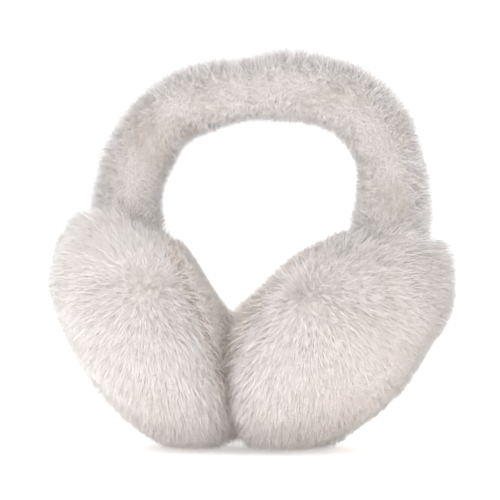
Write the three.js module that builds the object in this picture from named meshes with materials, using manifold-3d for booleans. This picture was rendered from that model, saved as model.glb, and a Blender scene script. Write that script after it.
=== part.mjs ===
// Fur earmuffs: a plush headband ending in two puffy fur ear cups, each with a cushion on its ear side.
// The set stands on the undersides of its cups, which press flat there and against each other.
// Millimetres, +Z up, +X to the right of someone who looks at the front, which faces -Y.

import * as THREE from 'three';
import { mergeVertices } from 'three/addons/utils/BufferGeometryUtils.js';
import Module from 'manifold-3d';

const wasm = await Module();
wasm.setup();

// Ear cup: the full sizes of its rounded form, the distance between the two cups' middles, how far its
// outer face turns to the front in degrees, and the exponent of its outline, where 2 is an ellipse
const cupLength = 153;
const cupDepth = 134;
const cupThickness = 88;
const cupSpacing = 103;
const cupToeOut = 13.5;
const cupFullness = 2.25;

// Seam between cup and pad: its distance from the cup's middle, its slope against the cup's long
// axis in degrees, and its length down the cup
const seamDistance = 26.5;
const seamTilt = 13;
const seamLength = 118;

// Ear pad, from the seam to its ear side
const padThickness = 16.5;

// Headband: the radius of its curve, its thickness in the curve's plane and across it, the height of
// the curve's centre over the cups' centres, and how far the soft band leans to the right of them
const bandRadius = 76;
const bandThickness = 39;
const bandDepth = 43;
const bandRise = 61;
const bandLean = 9.6;

// Locks of the deep fur
const lockLength = 36;
const lockWidth = 20;
const lockThickness = 9;
const lockRelief = 4;
const lockDroop = 18;

// Fits: the gap between pieces that touch, how far the cups press on what they stand on, and how far
// to the right of the middle they press on each other
const clearance = 0.3;
const floorPress = 4;
const contactShift = 4.5;

// Fineness of the meshes
const cupSides = 28;
const domeSteps = 9;
const bandSides = 16;
const bandSteps = 46;
const lockSides = 5;

const furColour = 0xd9cec8;
const padColour = 0xcdbfb6;

const radians = THREE.MathUtils.degToRad;
const quarterTurn = Math.PI / 2;

// The two sides, with the slant of each cup's long axis from upright in degrees
const sides = [
  { name: 'left', sign: -1, slant: 35.2 },
  { name: 'right', sign: 1, slant: 44.8 },
];

// Six times the volume that the triangles enclose, negative where they face inwards
function signedVolume(coordinates, triangles) {
  const corner = (k) => new THREE.Vector3().fromArray(coordinates, 3 * triangles[k]);
  let sum = 0;
  for (let i = 0; i < triangles.length; i += 3) {
    sum += corner(i).dot(corner(i + 1).cross(corner(i + 2)));
  }
  return sum;
}

// Moves each point of a closed geometry with place and makes a solid of the result
function solidFrom(geometry, place) {
  geometry.deleteAttribute('normal');
  geometry.deleteAttribute('uv');
  const position = geometry.getAttribute('position');
  const point = new THREE.Vector3();
  for (let i = 0; i < position.count; i += 1) {
    place(point.fromBufferAttribute(position, i));
    position.setXYZ(i, point.x, point.y, point.z);
  }
  const merged = mergeVertices(geometry, 1e-4);
  const vertProperties = new Float32Array(merged.getAttribute('position').array);
  const triVerts = new Uint32Array(merged.getIndex().array);
  if (signedVolume(vertProperties, triVerts) < 0) {
    for (let i = 0; i < triVerts.length; i += 3) {
      [triVerts[i], triVerts[i + 1]] = [triVerts[i + 1], triVerts[i]];
    }
  }
  return new wasm.Manifold(new wasm.Mesh({ numProp: 3, vertProperties, triVerts }));
}

// A box between two corners, for the flat cuts
function block(low, high) {
  const size = high.clone().sub(low);
  const middle = high.clone().add(low).multiplyScalar(0.5);
  return solidFrom(new THREE.BoxGeometry(size.x, size.y, size.z), (point) => point.add(middle));
}

// The half sizes of a cup as vectors, made smaller all round by inset. Length and depth lie in the
// plane of the seam, and thickness is paired with the tilted length so that the outline stays.
function cupAxes(side, inset) {
  const slant = radians(side.slant);
  const toeOut = radians(cupToeOut);
  const back = new THREE.Vector3(0, 1, 0);
  const down = new THREE.Vector3(-side.sign * Math.sin(slant), 0, -Math.cos(slant));
  const level = new THREE.Vector3(side.sign * Math.cos(slant), 0, -Math.sin(slant));
  const outward = level.clone().multiplyScalar(Math.cos(toeOut)).addScaledVector(back, -Math.sin(toeOut));
  const across = back.clone().multiplyScalar(Math.cos(toeOut)).addScaledVector(level, Math.sin(toeOut));
  const halfLength = cupLength / 2 - inset;
  const halfThickness = cupThickness / 2 - inset;
  const turn = Math.atan((cupLength / cupThickness) * Math.tan(radians(seamTilt)));
  const length = down.clone().multiplyScalar(halfLength * Math.cos(turn));
  length.addScaledVector(outward, halfThickness * Math.sin(turn));
  const thickness = down.clone().multiplyScalar(-halfLength * Math.sin(turn));
  thickness.addScaledVector(outward, halfThickness * Math.cos(turn));
  const depth = across.clone().multiplyScalar(cupDepth / 2 - inset);
  const centre = new THREE.Vector3((side.sign * cupSpacing) / 2, 0, restHeight(side));
  return { centre, length, depth, thickness };
}

// How high a cup's middle lies when its underside presses on the surface by floorPress
function restHeight(side) {
  const slant = radians(side.slant);
  const power = cupFullness / (cupFullness - 1);
  const lengthwise = Math.pow((cupLength / 2) * Math.cos(slant), power);
  const thickwise = Math.pow((cupThickness / 2) * Math.sin(slant), power);
  return Math.pow(lengthwise + thickwise, 1 / power) - floorPress;
}

// A point given as shares of a cup's half length, depth and thickness
function inCup(axes, along, across, outward, target) {
  target.copy(axes.centre).addScaledVector(axes.length, along);
  return target.addScaledVector(axes.depth, across).addScaledVector(axes.thickness, outward);
}

// The radius share of a cup's rounded form at a share of its thickness
function roundness(height) {
  return Math.pow(Math.max(0, 1 - Math.pow(Math.abs(height), cupFullness)), 1 / cupFullness);
}

// The share of a cup's half thickness that lies a distance from its middle, square to the seam
function heightShare(axes, distance) {
  const normal = new THREE.Vector3().crossVectors(axes.length, axes.depth).normalize();
  return distance / Math.abs(normal.dot(axes.thickness));
}

// A closed form turned through rings, each with the half sizes that its radius and height are shares of
function turned(rings) {
  const steps = rings.length - 1;
  const geometry = new THREE.SphereGeometry(1, cupSides, steps);
  return solidFrom(geometry, (point) => {
    const polar = Math.acos(THREE.MathUtils.clamp(point.y, -1, 1));
    const { axes, radius, height } = rings[Math.round((polar / Math.PI) * steps)];
    const round = Math.atan2(point.z, point.x);
    inCup(axes, radius * Math.cos(round), radius * Math.sin(round), height, point);
  });
}

// Where the cup's side turns in past its rim, as shares of the seam's distance
const sideSections = [0.45, 0.85];

// The lip of a cup, where its fur rolls in to the seam: depth as a share of the seam's distance, and
// reach as a share of the seam's radius
const lipSections = [
  { depth: 1.04, reach: 1.09 },
  { depth: 1, reach: 1 },
  { depth: 1, reach: 0 },
];

function cupRings(core, full) {
  const rings = [];
  for (let i = 0; i <= domeSteps; i += 1) {
    const height = i < domeSteps ? Math.cos((i / domeSteps) * quarterTurn) : 0;
    rings.push({ axes: core, radius: roundness(height), height });
  }
  for (const depth of sideSections) {
    const height = -heightShare(core, depth * seamDistance);
    rings.push({ axes: core, radius: roundness(height), height });
  }
  for (const { depth, reach } of lipSections) {
    const height = -heightShare(full, depth * seamDistance);
    rings.push({ axes: full, radius: (reach * seamLength) / cupLength, height });
  }
  return rings;
}

// The ear pad, from its flat back on the cup to its crowned ear side: rise as a share of the pad's
// own thickness, and reach as a share of the seam's radius
const padSections = [
  { rise: 0, reach: 0 },
  { rise: 0, reach: 0.955 },
  { rise: 0.12, reach: 1.01 },
  { rise: 0.3, reach: 1.03 },
  { rise: 0.5, reach: 0.96 },
  { rise: 0.7, reach: 0.83 },
  { rise: 0.86, reach: 0.63 },
  { rise: 0.96, reach: 0.36 },
  { rise: 1, reach: 0 },
];

function padRings(axes) {
  return padSections.map(({ rise, reach }) => ({
    axes,
    radius: (reach * seamLength) / cupLength,
    height: -heightShare(axes, seamDistance + clearance + rise * padThickness),
  }));
}

// Rings of locks on a cup: where they start, in degrees round the dome from its outer pole, how many
// there are, and their size and the lift of their tips as shares of the named lock sizes
const lockRings = [
  { start: 8, count: 5, size: 0.9, lift: 0.9 },
  { start: 30, count: 9, size: 1.0, lift: 1.0 },
  { start: 52, count: 14, size: 1.0, lift: 1.1 },
  { start: 74, count: 18, size: 0.95, lift: 1.2 },
];

// A lock from its sunk root to its tip: width as a share of the lock's, and height over the surface
// as a share of lockRelief
const lockSections = [
  { share: 0, width: 0.7, height: -1.1 },
  { share: 0.34, width: 1, height: -0.1 },
  { share: 0.68, width: 0.66, height: 0.6 },
  { share: 1, width: 0, height: 1 },
];

// One lock: a flattened, pointed tongue that follows the dome outwards and droops
function lock(axes, start, round, { size, lift }) {
  const quarterArc = quarterTurn * 0.25 * (cupLength / 2 + cupDepth / 2 + cupThickness);
  const span = ((lockLength * size) / quarterArc) * quarterTurn;
  const droop = radians(lockDroop) * Math.sin(round);
  const onDome = (share, sideways) => {
    const polar = start + span * share;
    const turn = round - droop * share + sideways;
    const radius = roundness(Math.cos(polar));
    return inCup(axes, radius * Math.cos(turn), radius * Math.sin(turn), Math.cos(polar), new THREE.Vector3());
  };
  const steps = lockSections.length - 1;
  const step = 0.02;
  return solidFrom(new THREE.ConeGeometry(1, 1, lockSides, steps), (point) => {
    const section = lockSections[Math.round((point.y + 0.5) * steps)];
    const middle = onDome(section.share, 0);
    const flow = onDome(section.share + step, 0).sub(onDome(section.share - step, 0)).normalize();
    const breadth = onDome(section.share, step).sub(onDome(section.share, -step));
    breadth.addScaledVector(flow, -breadth.dot(flow)).normalize();
    const normal = new THREE.Vector3().crossVectors(breadth, flow);
    normal.multiplyScalar(Math.sign(normal.dot(middle.clone().sub(axes.centre))));
    const onRim = Math.hypot(point.x, point.z);
    const turn = Math.atan2(point.z, point.x);
    const girth = onRim > 0 ? section.width * size * 0.5 : 0;
    point.copy(middle).addScaledVector(breadth, girth * lockWidth * Math.cos(turn));
    point.addScaledVector(normal, girth * lockThickness * Math.sin(turn));
    point.addScaledVector(normal, section.height * lockRelief * (section.height > 0 ? lift : 1));
  });
}

// Sections of the headband: the angle from its top in degrees, how far its middle lies from the
// centre of its curve and how thick it is, as shares of bandRadius and of its two thicknesses
const bandSections = [
  { angle: -101, reach: 0.985, girth: 0.9 },
  { angle: -88, reach: 0.99, girth: 1.02 },
  { angle: -75, reach: 1.0, girth: 0.97 },
  { angle: -60, reach: 1.015, girth: 1.01 },
  { angle: -45, reach: 1.035, girth: 0.96 },
  { angle: -30, reach: 1.01, girth: 1.01 },
  { angle: -18, reach: 0.995, girth: 0.97 },
  { angle: -6, reach: 0.97, girth: 0.92 },
  { angle: 8, reach: 0.995, girth: 1.03 },
  { angle: 20, reach: 1.025, girth: 1.01 },
  { angle: 34, reach: 1.08, girth: 1.0 },
  { angle: 48, reach: 1.1, girth: 1.0 },
  { angle: 62, reach: 1.04, girth: 1.0 },
  { angle: 75, reach: 0.99, girth: 1.05 },
  { angle: 88, reach: 0.95, girth: 1.08 },
  { angle: 101, reach: 0.94, girth: 0.95 },
];

// Gathers and dents of the plush: the angle from the top, the side of the band they lie on (0 outside,
// 90 front, 180 inside, 270 back), their spread both ways in degrees, and their depth as a share of
// bandThickness
const bandDents = [
  { angle: -82, side: 70, spread: 5, breadth: 60, depth: 0.07 },
  { angle: -66, side: 250, spread: 6, breadth: 55, depth: 0.08 },
  { angle: -53, side: 95, spread: 6, breadth: 50, depth: 0.1 },
  { angle: -38, side: 150, spread: 5, breadth: 45, depth: 0.09 },
  { angle: -36, side: 300, spread: 6, breadth: 55, depth: 0.08 },
  { angle: -21, side: 60, spread: 5, breadth: 50, depth: 0.07 },
  { angle: -5, side: 10, spread: 5, breadth: 45, depth: 0.08 },
  { angle: -2, side: 230, spread: 6, breadth: 60, depth: 0.07 },
  { angle: 14, side: 130, spread: 5, breadth: 55, depth: 0.07 },
  { angle: 29, side: 80, spread: 6, breadth: 50, depth: 0.09 },
  { angle: 33, side: 270, spread: 6, breadth: 60, depth: 0.08 },
  { angle: 46, side: 30, spread: 5, breadth: 40, depth: 0.09 },
  { angle: 61, side: 160, spread: 5, breadth: 55, depth: 0.08 },
  { angle: 66, side: 290, spread: 6, breadth: 55, depth: 0.07 },
  { angle: 77, side: 90, spread: 5, breadth: 55, depth: 0.09 },
];

// How deep the dents are at a place on the band
function dentDepth(angle, side) {
  let depth = 0;
  for (const dent of bandDents) {
    const lengthwise = (angle - dent.angle) / dent.spread;
    const roundwise = (THREE.MathUtils.euclideanModulo(side - dent.side + 180, 360) - 180) / dent.breadth;
    depth += dent.depth * Math.exp(-lengthwise * lengthwise - roundwise * roundwise);
  }
  return depth * bandThickness;
}

// The headband, larger all round by extra, which also makes the sockets for its ends
function band(extra) {
  const rows = bandSections.map(({ angle, reach, girth }) => new THREE.Vector3(angle, reach, girth));
  const curve = new THREE.CatmullRomCurve3(rows, false, 'centripetal');
  const height = (restHeight(sides[0]) + restHeight(sides[1])) / 2 + bandRise;
  const centre = new THREE.Vector3(bandLean, 0, height);
  const geometry = new THREE.CylinderGeometry(1, 1, 1, bandSides, bandSteps);
  return solidFrom(geometry, (point) => {
    const share = Math.round((point.y + 0.5) * bandSteps) / bandSteps;
    const { x: degrees, y: reach, z: girth } = curve.getPoint(share);
    const angle = radians(degrees);
    const outward = new THREE.Vector3(Math.sin(angle), 0, Math.cos(angle));
    const forward = new THREE.Vector3(Math.cos(angle), 0, -Math.sin(angle));
    const beyondEnd = share === 0 ? -extra : share === 1 ? extra : 0;
    const inside = Math.hypot(point.x, point.z);
    const round = Math.atan2(point.x, point.z);
    const grow = extra - dentDepth(degrees, -THREE.MathUtils.radToDeg(round));
    const thick = inside * (0.5 * girth * bandThickness + grow) * Math.cos(round);
    const deep = inside * (0.5 * girth * bandDepth + grow) * Math.sin(round);
    point.copy(centre).addScaledVector(outward, reach * bandRadius + thick);
    point.addScaledVector(forward, beyondEnd);
    point.y += deep;
  });
}

// A mesh with its own material from a finished solid
function piece(name, solid, color) {
  const { vertProperties, triVerts } = solid.getMesh();
  const geometry = new THREE.BufferGeometry();
  geometry.setAttribute('position', new THREE.BufferAttribute(new Float32Array(vertProperties), 3));
  geometry.setIndex(new THREE.BufferAttribute(new Uint32Array(triVerts), 1));
  geometry.computeVertexNormals();
  const mesh = new THREE.Mesh(geometry, new THREE.MeshStandardMaterial({ color, roughness: 0.95, metalness: 0 }));
  mesh.name = name;
  return mesh;
}

// What a cup and its pad leave free: the surface below, the other cup's side, and the band's socket
function trimmed(solid, side, socket) {
  const far = 3 * cupLength;
  const contact = contactShift + side.sign * clearance * 0.5;
  const below = block(new THREE.Vector3(-far, -far, -far), new THREE.Vector3(far, far, 0));
  const otherSide = side.sign < 0
    ? block(new THREE.Vector3(contact, -far, -far), new THREE.Vector3(far, far, far))
    : block(new THREE.Vector3(-far, -far, -far), new THREE.Vector3(contact, far, far));
  return solid.subtract(below).subtract(otherSide).subtract(socket);
}

const group = new THREE.Group();
const socket = band(clearance);
group.add(piece('headband_fur', band(0), furColour));

for (const side of sides) {
  const core = cupAxes(side, lockRelief);
  const full = cupAxes(side, 0);
  let fur = turned(cupRings(core, full));
  lockRings.forEach((ring, row) => {
    for (let i = 0; i < ring.count; i += 1) {
      const round = ((i + 0.5 * (row % 2)) / ring.count) * 2 * Math.PI;
      fur = fur.add(lock(core, radians(ring.start), round, ring));
    }
  });
  const pad = turned(padRings(full));
  group.add(piece(`${side.name}_cup_fur`, trimmed(fur, side, socket), furColour));
  group.add(piece(`${side.name}_ear_pad`, trimmed(pad, side, socket), padColour));
}

// The origin is under the middle of the whole set
const middle = new THREE.Box3().setFromObject(group).getCenter(new THREE.Vector3());
group.position.set(-middle.x, -middle.y, 0);

export default group;
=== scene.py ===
import math

import bpy
import numpy as np
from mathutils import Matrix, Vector
from mathutils.bvhtree import BVHTree
from mathutils.kdtree import KDTree


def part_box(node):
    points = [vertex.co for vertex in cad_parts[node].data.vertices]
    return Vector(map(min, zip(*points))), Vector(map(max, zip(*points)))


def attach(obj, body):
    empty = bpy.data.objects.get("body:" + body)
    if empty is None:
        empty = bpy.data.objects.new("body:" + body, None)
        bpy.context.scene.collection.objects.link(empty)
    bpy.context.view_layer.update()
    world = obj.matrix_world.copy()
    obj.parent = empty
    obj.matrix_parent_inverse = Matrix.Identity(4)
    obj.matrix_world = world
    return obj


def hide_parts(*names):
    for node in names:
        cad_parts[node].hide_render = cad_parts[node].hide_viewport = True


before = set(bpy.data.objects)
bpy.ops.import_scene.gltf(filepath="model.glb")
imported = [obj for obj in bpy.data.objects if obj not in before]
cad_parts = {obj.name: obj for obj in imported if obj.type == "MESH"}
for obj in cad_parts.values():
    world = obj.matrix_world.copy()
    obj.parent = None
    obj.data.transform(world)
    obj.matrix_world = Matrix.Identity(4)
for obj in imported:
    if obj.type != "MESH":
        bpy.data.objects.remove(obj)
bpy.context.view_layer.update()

# The view and the studio: a long lens level with the head gap, a little to the right of the front,
# over a plain, faintly lit white floor, in soft light from all round and a little more from above.
VIEW_AZIMUTH = math.radians(12)
VIEW_DISTANCE = 1.2
SENSOR_WIDTH = 36
PIXEL = 0.00055
FRAME_PIXELS = 500
ORIGIN_PIXEL = (246.5, 449.5)
right = Vector((math.cos(VIEW_AZIMUTH), math.sin(VIEW_AZIMUTH), 0))
toward = Vector((math.sin(VIEW_AZIMUTH), -math.cos(VIEW_AZIMUTH), 0))
target = right * ((FRAME_PIXELS / 2 - ORIGIN_PIXEL[0]) * PIXEL)
target.z = (ORIGIN_PIXEL[1] - FRAME_PIXELS / 2) * PIXEL

bpy.ops.object.camera_add(location=target + toward * VIEW_DISTANCE)
camera = bpy.context.object
camera.name = "camera"
camera.rotation_euler = (-toward).to_track_quat("-Z", "Y").to_euler()
camera.data.sensor_width = SENSOR_WIDTH
camera.data.lens = SENSOR_WIDTH * VIEW_DISTANCE / (FRAME_PIXELS * PIXEL)
camera.data.clip_start = 0.05
bpy.context.scene.camera = camera

FLOOR_HALF = 4.0
FLOOR_GLOW = 0.4
WORLD_LIGHT = 1.25
bpy.ops.object.select_all(action="DESELECT")
bpy.ops.mesh.primitive_plane_add(size=2 * FLOOR_HALF)
floor = bpy.context.object
floor.name = "studio_floor"
floor_finish = bpy.data.materials.new("studio_floor")
floor_finish.use_nodes = True
floor_shader = floor_finish.node_tree.nodes["Principled BSDF"]
floor_shader.inputs["Base Color"].default_value = (0.97, 0.97, 0.97, 1)
floor_shader.inputs["Roughness"].default_value = 1.0
floor_shader.inputs["Specular IOR Level"].default_value = 0.0
floor_shader.inputs["Emission Color"].default_value = (1, 1, 1, 1)
floor_shader.inputs["Emission Strength"].default_value = FLOOR_GLOW
floor.data.materials.append(floor_finish)

world = bpy.data.worlds.new("studio")
world.use_nodes = True
world.node_tree.nodes["Background"].inputs["Color"].default_value = (1.0, 1.0, 1.0, 1)
world.node_tree.nodes["Background"].inputs["Strength"].default_value = WORLD_LIGHT
bpy.context.scene.world = world
bpy.context.scene.view_settings.view_transform = "Standard"

for name, place, size, power in (
    # name, place m, size m, power W
    ("key_light", (-1.2, -1.4, 0.9), 2.0, 2),
    ("top_light", (0.1, 0.0, 1.8), 2.0, 10),
    ("back_light", (-0.8, 1.5, 0.9), 1.8, 8),
):
    bpy.ops.object.light_add(type="AREA", location=place)
    lamp = bpy.context.object
    lamp.name = name
    lamp.data.size = size
    lamp.data.energy = power
    lamp.rotation_euler = (target - Vector(place)).to_track_quat("-Z", "Y").to_euler()

# The headband: a tube of short, dense plush over its hidden spring and foam. The cloth is gathered a
# little along the curve, so the pile dents and parts in places. Its ends are sewn into the cups.
MILLIMETRE = 0.001


def outer_form(node):
    """The outside of the fur on a piece, to ask how far it lies from a point."""
    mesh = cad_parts[node].data
    corners = [v.co.copy() for v in mesh.vertices]
    return BVHTree.FromPolygons(corners, [tuple(p.vertices) for p in mesh.polygons])


outer = {node: outer_form(node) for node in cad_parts}


def knitted_backing(node, name, voxel, soften):
    """The cloth that the pile stands on: the outer form of a piece, closed and softened."""
    bpy.ops.object.select_all(action="DESELECT")
    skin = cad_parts[node].copy()
    skin.data = skin.data.copy()
    skin.parent = None
    skin.name = name
    bpy.context.collection.objects.link(skin)
    skin.hide_set(False)
    skin.select_set(True)
    bpy.context.view_layer.objects.active = skin
    bpy.ops.object.mode_set(mode="EDIT")
    bpy.ops.mesh.select_all(action="SELECT")
    bpy.ops.mesh.remove_doubles(threshold=0.01 * MILLIMETRE)
    bpy.ops.object.mode_set(mode="OBJECT")
    remesh = skin.modifiers.new("remesh", "REMESH")
    remesh.mode = "VOXEL"
    remesh.voxel_size = voxel
    bpy.ops.object.modifier_apply(modifier=remesh.name)
    smooth = skin.modifiers.new("smooth", "SMOOTH")
    smooth.factor = 0.5
    smooth.iterations = soften
    bpy.ops.object.modifier_apply(modifier=smooth.name)
    bpy.ops.object.shade_smooth()
    skin.data.materials.clear()
    return skin


def scatter(skin, count, chance):
    """Random roots over a backing and the outward normal at each."""
    mesh = skin.data
    mesh.calc_loop_triangles()
    corners = np.empty(len(mesh.vertices) * 3)
    mesh.vertices.foreach_get("co", corners)
    corners = corners.reshape(-1, 3)
    facing = np.array([v.normal[:] for v in mesh.vertices])
    triangles = np.array([t.vertices[:] for t in mesh.loop_triangles])
    a, b, c = (corners[triangles[:, k]] for k in range(3))
    area = np.linalg.norm(np.cross(b - a, c - a), axis=1)
    pick = chance.choice(len(triangles), size=count, p=area / area.sum())
    u = np.sqrt(chance.random(count))
    v = chance.random(count)
    share = np.stack([1 - u, u * (1 - v), u * v], axis=1)
    roots = np.einsum("nk,nkd->nd", share, corners[triangles[pick]])
    normals = np.einsum("nk,nkd->nd", share, facing[triangles[pick]])
    return roots, unit(normals)


def unit(vectors):
    return vectors / np.maximum(np.linalg.norm(vectors, axis=1)[:, None], 1e-9)


def along_skin(direction, normals):
    """The part of a direction that runs along the skin."""
    direction = np.broadcast_to(direction, normals.shape)
    return direction - normals * np.sum(direction * normals, axis=1)[:, None]


def gap_to(node, points):
    """How far points are from a piece's outer form."""
    tree = outer[node]
    return np.array([tree.find_nearest(Vector(point))[3] for point in points])


def inside(node, points):
    """Which points are inside a piece's outer form: a line upwards leaves it once more than it enters."""
    tree = outer[node]
    up = Vector((0.001, 0.002, 1.0)).normalized()
    found = np.zeros(len(points), dtype=bool)
    low, high = (np.array(corner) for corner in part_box(node))
    for i in np.flatnonzero(((points > low) & (points < high)).all(axis=1)):
        start = Vector(points[i])
        while True:
            place = tree.ray_cast(start, up)[0]
            if place is None:
                break
            found[i] = not found[i]
            start = place + up * 1e-6
    return found


def gathered(roots, tips, count, strength, chance):
    """Draws the tips of neighbouring hairs together into small locks. Gives the tips and the locks."""
    leaders = chance.choice(len(roots), size=count, replace=False)
    tree = KDTree(count)
    for k, leader in enumerate(leaders):
        tree.insert(Vector(roots[leader]), k)
    tree.balance()
    nearest = np.array([tree.find(Vector(root))[1] for root in roots])
    pull = strength * chance.uniform(0.3, 1.0, len(roots))[:, None]
    return tips + (tips[leaders][nearest] - tips) * pull, nearest


def hairs(name, roots, middles, tips, width, tint, shading):
    """A mesh of closed, three-sided hairs, straight where middles is None."""
    count = len(roots)
    bend = middles is not None
    axis = unit(tips - roots)
    side = unit(np.cross(axis, shading + np.array([1e-3, 2e-3, 3e-3])))
    under = np.cross(axis, side)
    rings = [(roots, 1.0)] + ([(middles, 0.8)] if bend else [])
    points = []
    for centre, girth in rings:
        for sideways, deep in ((0.5, 0.0), (0.0, 0.5), (-0.5, 0.0)):
            offset = side * sideways + under * deep
            points.append(centre + offset * (girth * width))
    points.append(tips)
    each = len(points)
    vertices = np.stack(points, axis=1).reshape(-1, 3)
    faces = [(0, 2, 1)]
    if bend:
        for k in range(3):
            n = (k + 1) % 3
            faces += [(k, n, 3 + n), (k, 3 + n, 3 + k)]
    top = each - 4
    faces += [(top, top + 1, each - 1), (top + 1, top + 2, each - 1), (top + 2, top, each - 1)]
    faces = (np.array(faces)[None] + each * np.arange(count)[:, None, None]).reshape(-1, 3)
    mesh = bpy.data.meshes.new(name)
    mesh.vertices.add(len(vertices))
    mesh.vertices.foreach_set("co", vertices.ravel())
    mesh.loops.add(faces.size)
    mesh.loops.foreach_set("vertex_index", faces.ravel().astype(np.int32))
    mesh.polygons.add(len(faces))
    mesh.polygons.foreach_set("loop_start", np.arange(0, faces.size, 3, dtype=np.int32))
    mesh.polygons.foreach_set("use_smooth", np.ones(len(faces), dtype=bool))
    mesh.update(calc_edges=True)
    along = np.tile([0.0] * 3 + ([0.5] * 3 if bend else []) + [1.0], count)
    # Each point's pile colour: how far along the hair it lies, the hair's random shift, and its tan, most of
    # which is painted shade.
    colour = np.column_stack([along, np.repeat(tint, each, axis=0), np.ones(count * each)])
    layer = mesh.color_attributes.new(name="pile", type="FLOAT_COLOR", domain="POINT")
    layer.data.foreach_set("color", colour.ravel())
    mesh.normals_split_custom_set_from_vertices(np.repeat(shading, each, axis=0).tolist())
    piece = bpy.data.objects.new(name, mesh)
    bpy.context.collection.objects.link(piece)
    return piece


def pile_finish(name, root_colour, tip_colour, tan_and_shade_colour):
    """Fur or plush: a little darker at the roots, pale at the tips, with small shifts from hair to hair,
    soft tan mottle at random, and a tan painted shade where each hair's pile colour asks for it."""
    finish = bpy.data.materials.new(name)
    finish.use_nodes = True
    nodes = finish.node_tree.nodes
    links = finish.node_tree.links
    shader = nodes["Principled BSDF"]
    shader.inputs["Roughness"].default_value = 0.9
    shader.inputs["Specular IOR Level"].default_value = 0.15
    shader.inputs["Sheen Weight"].default_value = 0.6
    shader.inputs["Sheen Roughness"].default_value = 0.5
    pile = nodes.new("ShaderNodeAttribute")
    pile.attribute_name = "pile"
    parts = nodes.new("ShaderNodeSeparateColor")
    links.new(pile.outputs["Color"], parts.inputs["Color"])
    ramp = nodes.new("ShaderNodeValToRGB")
    ramp.color_ramp.elements[0].color = (*root_colour, 1)
    ramp.color_ramp.elements[1].color = (*tip_colour, 1)
    ramp.color_ramp.elements[1].position = 0.6
    links.new(parts.outputs["Red"], ramp.inputs["Fac"])
    place = nodes.new("ShaderNodeTexCoord")
    drift = nodes.new("ShaderNodeTexNoise")
    drift.inputs["Scale"].default_value = 40
    drift.inputs["Detail"].default_value = 3
    links.new(place.outputs["Object"], drift.inputs["Vector"])
    mottle = nodes.new("ShaderNodeMapRange")
    mottle.inputs["From Min"].default_value = 0.35
    mottle.inputs["From Max"].default_value = 0.75
    mottle.inputs["To Max"].default_value = 0.35
    links.new(drift.outputs["Fac"], mottle.inputs["Value"])
    # Painted shade: the pile colour's blue channel is added to the random mottle and multiplies in a tan
    # where the pile would lie in shade.
    tan_and_painted_shade = nodes.new("ShaderNodeMath")
    tan_and_painted_shade.operation = "ADD"
    tan_and_painted_shade.use_clamp = True
    links.new(mottle.outputs["Result"], tan_and_painted_shade.inputs[0])
    links.new(parts.outputs["Blue"], tan_and_painted_shade.inputs[1])
    tan_and_shade_mix = nodes.new("ShaderNodeMix")
    tan_and_shade_mix.data_type = "RGBA"
    tan_and_shade_mix.blend_type = "MULTIPLY"
    tan_and_shade_mix.inputs[7].default_value = (*tan_and_shade_colour, 1)
    links.new(tan_and_painted_shade.outputs["Value"], tan_and_shade_mix.inputs[0])
    links.new(ramp.outputs["Color"], tan_and_shade_mix.inputs[6])
    vary = nodes.new("ShaderNodeHueSaturation")
    value = nodes.new("ShaderNodeMapRange")
    value.inputs["To Min"].default_value = 0.98
    value.inputs["To Max"].default_value = 1.01
    links.new(parts.outputs["Green"], value.inputs["Value"])
    links.new(value.outputs["Result"], vary.inputs["Value"])
    links.new(tan_and_shade_mix.outputs[2], vary.inputs["Color"])
    links.new(vary.outputs["Color"], shader.inputs["Base Color"])
    return finish


DOWN = np.array([0.0, 0.0, -1.0])
WARM_BACKING = (0.86, 0.80, 0.72)
# The backing cloth is painted darker than the pile, as painted shade deep among the roots where it shows
# through.
PLUSH_BACKING_PAINTED_SHADE = (0.70, 0.655, 0.62)
PLUSH_ROOT = (0.955, 0.912, 0.888)
PLUSH_TIP = (0.97, 0.926, 0.912)
PLUSH_TAN_AND_SHADE = (0.80, 0.75, 0.705)
PLUSH_PILE = 4.5 * MILLIMETRE
PLUSH_HAIRS = 49500
PLUSH_HAIR = 0.26 * MILLIMETRE
PLUSH_LOCKS = 6000
PLUSH_GATHER = 0.1
PLUSH_MESS = 0.5
PLUSH_DROOP = 0.15
PARTING_LEAN = 0.4
JOIN_REACH = 9 * MILLIMETRE
JOIN_TURN = 0.9
JOIN_LEAN = 0.8
BAND_MIDDLE = np.array([6.6, 0.0, 125.0]) * MILLIMETRE

plush_backing = pile_finish("plush_backing", PLUSH_BACKING_PAINTED_SHADE, PLUSH_BACKING_PAINTED_SHADE, WARM_BACKING)
plush = pile_finish("headband_plush", PLUSH_ROOT, PLUSH_TIP, PLUSH_TAN_AND_SHADE)
band_skin = knitted_backing("headband_fur", "headband_skin", voxel=3.0 * MILLIMETRE, soften=24)
draw_in = band_skin.modifiers.new("draw_in", "DISPLACE")
draw_in.mid_level = 0
draw_in.strength = -0.7 * PLUSH_PILE
bpy.ops.object.modifier_apply(modifier=draw_in.name)
band_skin.data.materials.append(plush_backing)
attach(band_skin, "root")
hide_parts("headband_fur")

PARTINGS = (
    # from across mm, up mm, to across mm, up mm, reach mm, painted shade
    (-55, 178, -50, 164, 9, 1.0),
    (-33, 179, -28, 174, 5, 1.0),
    (-22, 190, -18, 186, 6, 0.5),
    (9, 193, 14, 190, 6, 0.3),
    (38, 190, 52, 193, 5, 0.9),
    (52, 193, 64, 191, 5, 0.7),
    (73, 156, 76, 152, 5, 0.5),
    (86, 173, 88, 169, 5, 0.5),
    (83, 142, 86, 134, 6, 0.8),
    (-72, 152, -70, 148, 5, 0.4),
)
chance = np.random.default_rng(11)
roots, normals = scatter(band_skin, PLUSH_HAIRS, chance)
kept = np.ones(len(roots), dtype=bool)
for cup in ("left_cup_fur", "right_cup_fur"):
    kept &= ~inside(cup, roots)
roots, normals = roots[kept], normals[kept]
stray = along_skin(chance.normal(0, 1, roots.shape), normals)

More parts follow.
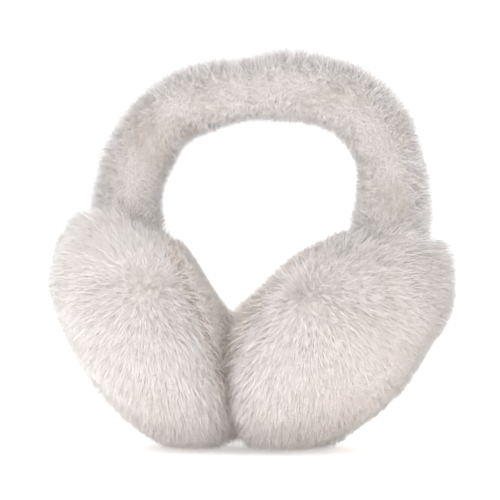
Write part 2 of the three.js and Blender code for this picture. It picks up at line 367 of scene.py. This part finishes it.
# By the cups the pile is longer and turns away from them, to meet the cup's fur and fill the join.
to_cup = np.minimum(gap_to("left_cup_fur", roots), gap_to("right_cup_fur", roots))
flare = np.exp(-((to_cup / JOIN_REACH) ** 2))[:, None]
left_middle, right_middle = (np.mean(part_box(cup), axis=0) for cup in ("left_cup_fur", "right_cup_fur"))
from_cup = unit(roots - np.where(roots[:, :1] < 0, left_middle, right_middle))
shading = unit(normals + from_cup * flare * JOIN_TURN)
outer_side = np.clip(np.sum(unit(roots - BAND_MIDDLE) * normals, axis=1), 0, 1)
lean = stray * PLUSH_MESS + along_skin(DOWN, normals) * PLUSH_DROOP
lean += along_skin(from_cup, normals) * flare * JOIN_LEAN

# At each parting the pile leans away to both sides, and a tan painted shade is laid on its hairs, strongest
# along the parting.
tan_and_painted_shade = np.zeros(len(roots))
for from_across, from_up, to_across, to_up, reach, strength in PARTINGS:
    start = np.array([from_across, from_up]) * MILLIMETRE
    run = np.array([to_across, to_up]) * MILLIMETRE - start
    place = roots[:, [0, 2]] - start
    share = np.clip(place @ run / (run @ run), 0, 1)
    away = np.insert(place - share[:, None] * run, 1, 0, axis=1)
    gap = np.linalg.norm(away, axis=1) / (reach * MILLIMETRE)
    front = normals[:, 1] < 0.1
    lean += along_skin(unit(away), normals) * (PARTING_LEAN * np.exp(-((2.2 * gap) ** 2)) * front)[:, None]
    tan_and_painted_shade += strength * np.exp(-gap * gap) * front
directions = unit(normals + lean)
reach = PLUSH_PILE / np.sum(directions * normals, axis=1) * chance.uniform(0.8, 1.2, len(roots))
flare = flare[:, 0]
reach *= 1 + flare * (0.3 + 0.6 * np.abs(normals[:, 1])) + 0.6 * outer_side * (1 - 0.6 * flare)
tips = roots + directions * reach[:, None]
tips, locks = gathered(roots, tips, PLUSH_LOCKS, PLUSH_GATHER, chance)
hue = 0.5 * chance.random(len(roots)) + 0.5 * chance.random(PLUSH_LOCKS)[locks]
tint = np.stack([hue, np.clip(tan_and_painted_shade, 0, 1)], axis=1)
band_pile = hairs("headband_pile", roots, None, tips, PLUSH_HAIR, tint, shading)
band_pile.data.materials.append(plush)
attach(band_pile, "root")

# The ear cups: big puffs of deep, soft fur. Dense underfur stands on the backing, and longer guard
# hair rises through it, stands out all round and hangs a little, gathered into loose locks.


def drawn_in(skin, centre, axis, across, along):
    """Draws a backing in towards a point of its seam, across and along the seam's axis, for its pile."""
    bpy.ops.object.select_all(action="DESELECT")
    skin.select_set(True)
    bpy.context.view_layer.objects.active = skin
    bpy.ops.object.mode_set(mode="EDIT")
    bpy.ops.mesh.select_all(action="SELECT")
    turn = Vector(axis).to_track_quat("Z", "Y").to_matrix()
    bpy.ops.transform.resize(
        value=(across, across, along),
        orient_type="LOCAL",
        orient_matrix=turn,
        orient_matrix_type="LOCAL",
        center_override=centre,
    )
    bpy.ops.object.mode_set(mode="OBJECT")


def facing_by(node, points):
    """Which way a piece's outer form faces where it is nearest to points."""
    tree = outer[node]
    return np.array([tree.find_nearest(Vector(point))[1][:] for point in points])


def covered(node, roots, normals, within):
    """Which roots another piece sits right on top of."""
    tree = outer[node]
    return np.array([
        tree.ray_cast(Vector(root), Vector(normal), within)[0] is not None
        for root, normal in zip(roots, normals)
    ])


# The backing cloth is painted darker than the fur, as painted shade deep among the roots where it shows
# through.
CUP_BACKING_PAINTED_SHADE = (0.80, 0.755, 0.72)
CUP_ROOT = (0.93, 0.873, 0.835)
CUP_TIP = (0.96, 0.913, 0.897)
FUR_TAN_AND_SHADE = (0.90, 0.84, 0.775)
UNDERFUR_HAIRS = 52000
GUARD_HAIRS = 19000
CUP_LOCKS = 6000
FLOOR_CLEAR = 0.3 * MILLIMETRE
CUP_PILE = 7.0 * MILLIMETRE
CUP_HAIR = 0.24 * MILLIMETRE
CUP_COMB = 0.6
GUARD_BEND = 0.18
SEAM_REACH = 7 * MILLIMETRE
WHORL_CORE = 9 * MILLIMETRE
# By side, in millimetres: middles, whorls (across, up) and seams, with the directions of the seams' axes,
# the heights where the pile is fullest and the tufts at the seams (across, up).
CUP_CENTRES = {"left": (-53.85, 0, 65.1), "right": (49.15, 0, 60.5)}
WHORLS = {"left": (-42.2, 89.0), "right": (41.7, 86.0)}
SEAM_CENTRES = {"left": (-25.8, 5.5, 64.9), "right": (21.5, 5.5, 64.9)}
SEAM_AXES = {"left": (-0.904, -0.2275, -0.362), "right": (0.831, -0.2274, -0.508)}
FULLEST = {"left": 76, "right": 95}
TUFTS = {"left": (-12, 81), "right": (15, 98)}
GATHER = {"left": 0.08, "right": 0.2}
FULL_SPREAD = 34
TUFT_SPREAD = 8

cup_backing = pile_finish("cup_backing", CUP_BACKING_PAINTED_SHADE, CUP_BACKING_PAINTED_SHADE, WARM_BACKING)
deep_fur = pile_finish("cup_fur", CUP_ROOT, CUP_TIP, FUR_TAN_AND_SHADE)

for number, side in enumerate(("left", "right")):
    node = f"{side}_cup_fur"
    pad = f"{side}_ear_pad"
    chance = np.random.default_rng(21 + number)
    centre = np.array(CUP_CENTRES[side]) * MILLIMETRE
    skin = knitted_backing(node, f"{side}_cup_skin", voxel=4.0 * MILLIMETRE, soften=18)
    drawn_in(skin, Vector(SEAM_CENTRES[side]) * MILLIMETRE, SEAM_AXES[side], across=0.945, along=0.95)
    skin.data.materials.append(cup_backing)
    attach(skin, "root")
    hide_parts(node)
    for kind, count, length, droop, mess, gather in (
        # kind, count, length in depths of pile, droop, mess, gather
        ("underfur", UNDERFUR_HAIRS, 0.98, 0.2, 0.25, 0.5 * GATHER[side]),
        ("guard_hair", GUARD_HAIRS, 1.12, 0.35, 0.2, GATHER[side]),
    ):
        roots, normals = scatter(skin, count, chance)
        kept = ~covered(pad, roots, normals, 2 * MILLIMETRE)
        kept &= ~inside("headband_fur", roots)
        roots, normals = roots[kept], normals[kept]

        # The fur stands outwards. By the headband it also turns away from the band, to fill the join.
        by_band = np.exp(-((gap_to("headband_fur", roots) / JOIN_REACH) ** 2))
        outward = unit(0.5 * normals + 0.5 * unit(roots - centre))
        facing = facing_by("headband_fur", roots)
        crossing = by_band * (1 - 0.9 * facing[:, 0] ** 2)
        outward = unit(outward + facing * (JOIN_TURN * crossing)[:, None])

        # It is combed away from a whorl at the front and one at the back, hangs a little, and is messier
        # by the seam. No hair lies flatter than about 20 degrees from the skin.
        stray = along_skin(chance.normal(0, 1, roots.shape), outward)
        whorl = np.array([WHORLS[side][0], 0, WHORLS[side][1]]) * MILLIMETRE
        away = (roots - whorl) * np.array([1.0, 0.0, 1.0])
        comb = along_skin(away / np.maximum(np.linalg.norm(away, axis=1), WHORL_CORE)[:, None], outward)
        seam = np.exp(-((gap_to(pad, roots) / SEAM_REACH) ** 2))
        stray *= (mess * (1 + seam))[:, None]
        directions = unit(outward + stray + DOWN * droop + comb * CUP_COMB)
        too_flat = np.maximum(0, 0.35 - np.sum(directions * normals, axis=1))
        directions = unit(directions + normals * too_flat[:, None])

        # Its length follows the photo: fuller half way up the outer sides, at the seam, by the band and in a
        # tuft beside the gap, shorter at the top of the gap side and low down on the outer side.
        rise = np.sum(directions * normals, axis=1)
        reach = np.minimum(length * CUP_PILE / rise, 2.2 * CUP_PILE) * chance.uniform(0.8, 1.1, len(roots))
        away_from_gap = normals[:, 0] * (1 if side == "right" else -1)
        sideways = np.clip(away_from_gap, 0, 1)
        height = roots[:, 2] / MILLIMETRE
        gapward = np.clip(-away_from_gap, 0, 1) * np.clip((height - 90) / 10, 0, 1)
        full = np.exp(-(((height - FULLEST[side]) / FULL_SPREAD) ** 2))
        low = np.clip((106 - height) / 8, 0, 1)
        reach *= 1 + 0.5 * crossing + 0.3 * by_band * sideways
        reach *= 1 + 0.4 * seam * low + sideways * (0.8 * full - 0.4) - 0.35 * gapward
        tuft = np.linalg.norm(roots[:, [0, 2]] / MILLIMETRE - TUFTS[side], axis=1) / TUFT_SPREAD
        reach *= 1 + 1.1 * np.exp(-tuft * tuft)
        tips = roots + directions * reach[:, None]
        tips, locks = gathered(roots, tips, CUP_LOCKS, gather, chance)
        tips[:, 2] = np.maximum(tips[:, 2], FLOOR_CLEAR)
        middles = None
        if kind == "guard_hair":
            middles = roots + (tips - roots) * 0.5
            middles += (outward - directions * 0.6) * (GUARD_BEND * reach)[:, None]
            middles[:, 2] = np.maximum(middles[:, 2], FLOOR_CLEAR)

        # Painted shade: a tan is multiplied in at the seam's crease, on the undersides and on the right
        # cup's outer side, which turns away from the light.
        hue = 0.5 * chance.random(len(roots)) + 0.5 * chance.random(CUP_LOCKS)[locks]
        shade = 0.4 * np.clip(1 - height / 50, 0, 1)
        if side == "right":
            shade += sideways * (0.25 + 0.6 * np.clip(1.3 - height / 75, 0, 1))
        tint = np.stack([hue, np.clip(0.9 * seam + shade, 0, 1)], axis=1)
        pile = hairs(f"{side}_cup_{kind}", roots, middles, tips, CUP_HAIR, tint, outward)
        pile.data.materials.append(deep_fur)
        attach(pile, "root")

# The ear pads: a soft cushion on the ear side of each cup, in shorter and slightly warmer fur, sewn
# on along the crease where the deep fur of the cup rolls in.
PAD_HAIRS = 26000
PAD_HAIR = 0.26 * MILLIMETRE
PAD_LOCKS = 4000
PAD_GATHER = 0.2
MEETING_REACH = 18 * MILLIMETRE
RIM_REACH = 5 * MILLIMETRE
# The backing cloth is painted darker than the fur, as painted shade deep among the roots where it shows
# through.
PAD_BACKING_PAINTED_SHADE = (0.74, 0.695, 0.655)
PAD_ROOT = (0.94, 0.89, 0.855)
PAD_TIP = (0.975, 0.933, 0.915)
# By side: the pile's depth in millimetres, and how much deeper it is where the two pads meet.
PAD_PILE = {"left": 3.4, "right": 4.8}
MEETING_PILE = {"left": 3.6, "right": 2.1}

pad_backing = pile_finish("pad_backing", PAD_BACKING_PAINTED_SHADE, PAD_BACKING_PAINTED_SHADE, WARM_BACKING)
pad_fur = pile_finish("pad_fur", PAD_ROOT, PAD_TIP, FUR_TAN_AND_SHADE)

for number, side in enumerate(("left", "right")):
    node = f"{side}_ear_pad"
    cup = f"{side}_cup_fur"
    chance = np.random.default_rng(31 + number)
    centre = np.array(SEAM_CENTRES[side]) * MILLIMETRE
    skin = knitted_backing(node, f"{side}_pad_skin", voxel=2.5 * MILLIMETRE, soften=6)
    drawn_in(skin, Vector(centre), SEAM_AXES[side], across=0.93, along=0.68)
    skin.data.materials.append(pad_backing)
    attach(skin, "root")
    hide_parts(node)
    roots, normals = scatter(skin, PAD_HAIRS, chance)
    kept = ~covered(cup, roots, normals, 1 * MILLIMETRE)
    roots, normals = roots[kept], normals[kept]
    stray = along_skin(chance.normal(0, 1, roots.shape), normals)
    outward = unit(0.6 * normals + 0.4 * unit(roots - centre))
    other = "right_ear_pad" if side == "left" else "left_ear_pad"
    meeting = np.exp(-((gap_to(other, roots) / MEETING_REACH) ** 2))
    rim = np.exp(-((gap_to(cup, roots) / RIM_REACH) ** 2))
    stray *= (0.28 + 0.3 * rim)[:, None]
    directions = unit(outward + stray + DOWN * (0.3 - 1.3 * meeting)[:, None])
    reach = PAD_PILE[side] * MILLIMETRE * chance.uniform(0.85, 1.15, len(roots))
    reach *= 1 + MEETING_PILE[side] * meeting + 0.8 * rim
    tips = roots + directions * reach[:, None]
    tips, locks = gathered(roots, tips, PAD_LOCKS, PAD_GATHER, chance)
    hue = 0.5 * chance.random(len(roots)) + 0.5 * chance.random(PAD_LOCKS)[locks]
    # Painted shade: a tan is multiplied in at the crease by the cup and where the two pads meet, over the
    # pad's own slightly warmer tone.
    tint = np.stack([hue, np.clip(0.25 + 0.6 * rim + 0.6 * meeting, 0, 1)], axis=1)
    pile = hairs(f"{side}_pad_pile", roots, None, tips, PAD_HAIR, tint, outward)
    pile.data.materials.append(pad_fur)
    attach(pile, "root")
